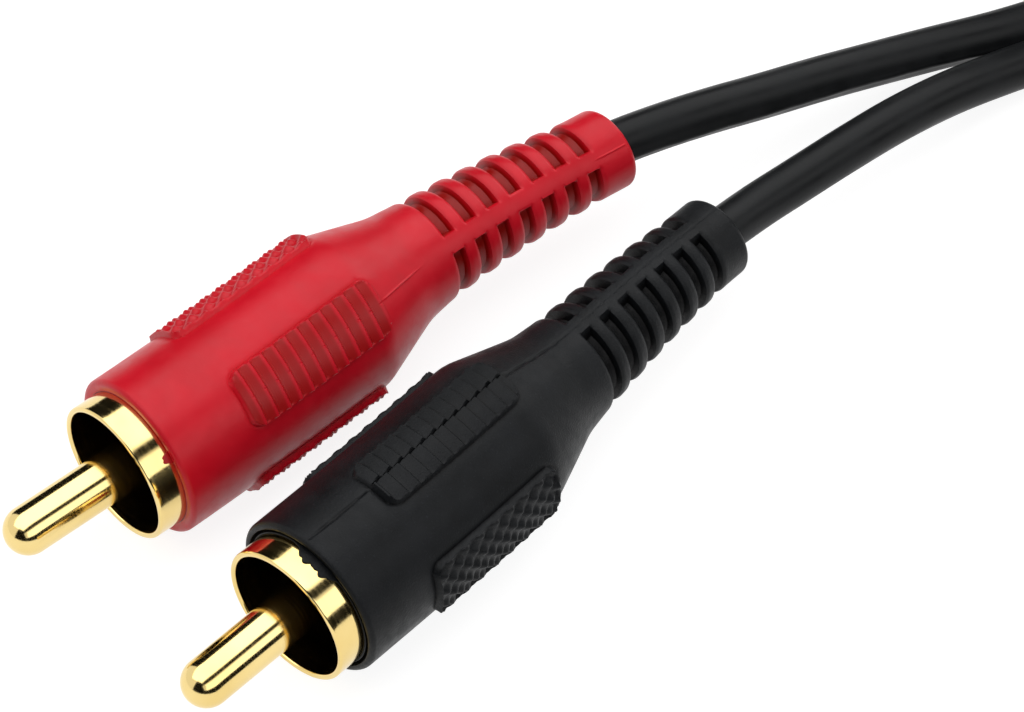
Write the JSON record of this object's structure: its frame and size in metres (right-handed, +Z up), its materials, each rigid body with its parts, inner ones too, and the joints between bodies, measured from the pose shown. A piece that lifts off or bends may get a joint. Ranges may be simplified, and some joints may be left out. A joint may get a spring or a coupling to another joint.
{
  "type": "stereo phono audio cable",
  "caption": "Stereo audio lead with red and black moulded phono plugs on each end of a twin cord, laid out with its spare length in a tied hank.",
  "frame": {"origin": "midway between the two near plugs, on the surface that they lie on", "axes": "+Y along the near plugs from their pins towards the cord, +Z up, +X from the red plug towards the black plug"},
  "size_m": [0.0362, 0.1873, 0.0256],
  "materials": {
    "red_pvc": "satin flexible moulding",
    "black_pvc": "satin flexible moulding",
    "gold_plate": "polished gold plate",
    "insulator": "matt",
    "copper": "bare copper",
    "core_insulation": "waxy",
    "tie": "satin"
  },
  "bodies": {
    "root": {"red_plug_pin": "gold_plate", "red_plug_shell": "gold_plate", "red_plug_insulator": "insulator", "red_plug_core_wire": "copper", "red_plug_core_insulation": "core_insulation", "red_plug_shield_tail": "copper", "red_plug_moulding": "red_pvc", "red_far_plug_pin": "gold_plate", "red_far_plug_shell": "gold_plate", "red_far_plug_insulator": "insulator", "red_far_plug_core_wire": "copper", "red_far_plug_core_insulation": "core_insulation", "red_far_plug_shield_tail": "copper", "red_far_plug_moulding": "red_pvc", "red_lead_near": "black_pvc", "red_lead_far": "black_pvc", "black_plug_pin": "gold_plate", "black_plug_shell": "gold_plate", "black_plug_insulator": "insulator", "black_plug_core_wire": "copper", "black_plug_core_insulation": "core_insulation", "black_plug_shield_tail": "copper", "black_plug_moulding": "black_pvc", "black_far_plug_pin": "gold_plate", "black_far_plug_shell": "gold_plate", "black_far_plug_insulator": "insulator", "black_far_plug_core_wire": "copper", "black_far_plug_core_insulation": "core_insulation", "black_far_plug_shield_tail": "copper", "black_far_plug_moulding": "black_pvc", "black_lead_near": "black_pvc", "black_lead_far": "black_pvc", "lead_hank": "black_pvc", "tie": "tie"}
  },
  "joints": []
}
